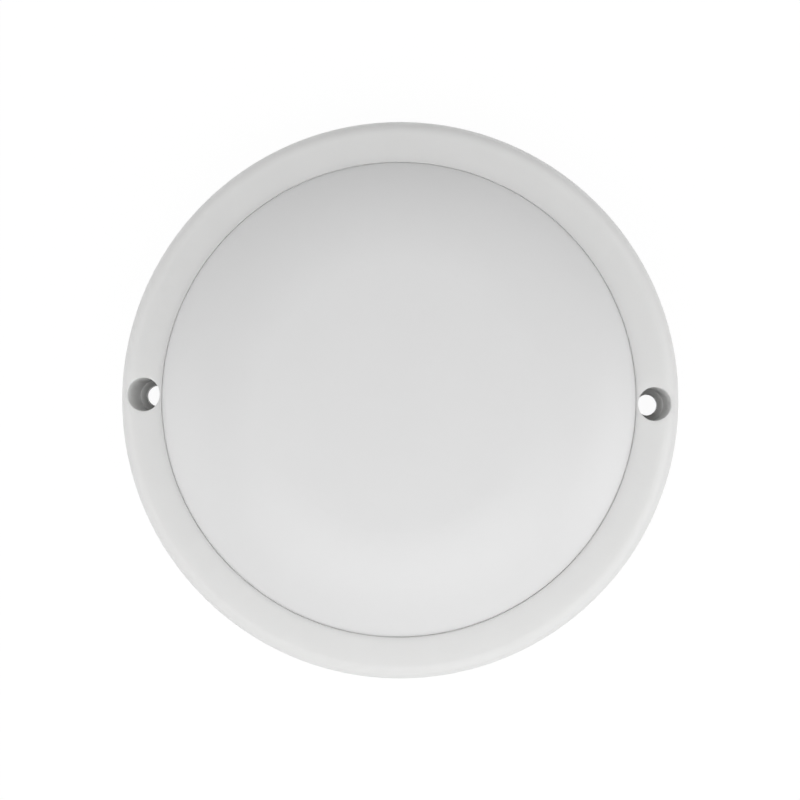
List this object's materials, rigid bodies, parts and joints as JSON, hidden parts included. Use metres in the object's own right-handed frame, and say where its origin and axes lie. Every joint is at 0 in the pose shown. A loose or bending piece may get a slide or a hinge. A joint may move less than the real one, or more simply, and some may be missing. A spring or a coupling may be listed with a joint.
{
  "type": "round surface light",
  "caption": "Round surface-mounted light for a soffit, wall or ceiling: white moulded housing with deep screw wells, a snap-in opal dome diffuser and an LED ring board on a metal pan.",
  "frame": {"origin": "centre of the mounting face, which lies against the soffit or wall", "axes": "+Z out of the wall through the diffuser, along the light's axis; the screw holes lie on X"},
  "size_m": [0.155, 0.155, 0.0387],
  "materials": {
    "housing_plastic": "satin, fine moulded texture",
    "opal_plastic": "satin opal",
    "seal_silicone": "matt",
    "grommet_rubber": "matt",
    "bare_aluminium": "rolled",
    "pad_silicone": "matt",
    "board_white": "white solder mask",
    "plated_steel": "zinc plated",
    "led_body": "satin",
    "led_phosphor": "gel",
    "chip_black": "moulded epoxy",
    "tinned_metal": "tinned",
    "varistor_coating": "dipped coating",
    "resistor_coating": "lacquered",
    "sleeve_film": "shrunk film",
    "chip_ceramic": "glazed top",
    "connector_plastic": "satin",
    "terminal_nylon": "natural nylon",
    "brass": "turned",
    "brown_pvc": "smooth",
    "blue_pvc": "smooth"
  },
  "bodies": {
    "housing": {"base_housing": "housing_plastic", "sealing_ring": "seal_silicone", "inlet_grommet": "grommet_rubber", "heat_spreader": "bare_aluminium", "thermal_pad": "pad_silicone", "led_board": "board_white", "board_screws": "plated_steel", "led_packages": "led_body", "led_phosphors": "led_phosphor", "driver_chips": "chip_black", "bridge_rectifier": "chip_black", "component_pins": "tinned_metal", "varistor": "varistor_coating", "fuse_resistor": "resistor_coating", "filter_capacitor": "bare_aluminium", "capacitor_sleeve": "sleeve_film", "component_legs": "tinned_metal", "chip_resistors": "chip_ceramic", "board_connector": "connector_plastic", "connector_contacts": "tinned_metal", "terminal_block": "terminal_nylon", "terminal_clamps": "brass", "terminal_screws": "plated_steel", "terminal_fixing_screw": "plated_steel", "lead_line": "brown_pvc", "lead_neutral": "blue_pvc", "lead_ferrules": "tinned_metal"},
    "diffuser": {"diffuser": "opal_plastic"}
  },
  "joints": [
    {"name": "diffuser_lift", "type": "slide", "parent": "housing", "child": "diffuser", "axis": [0, 0, 1], "range_m": [0, 0.06]}
  ]
}
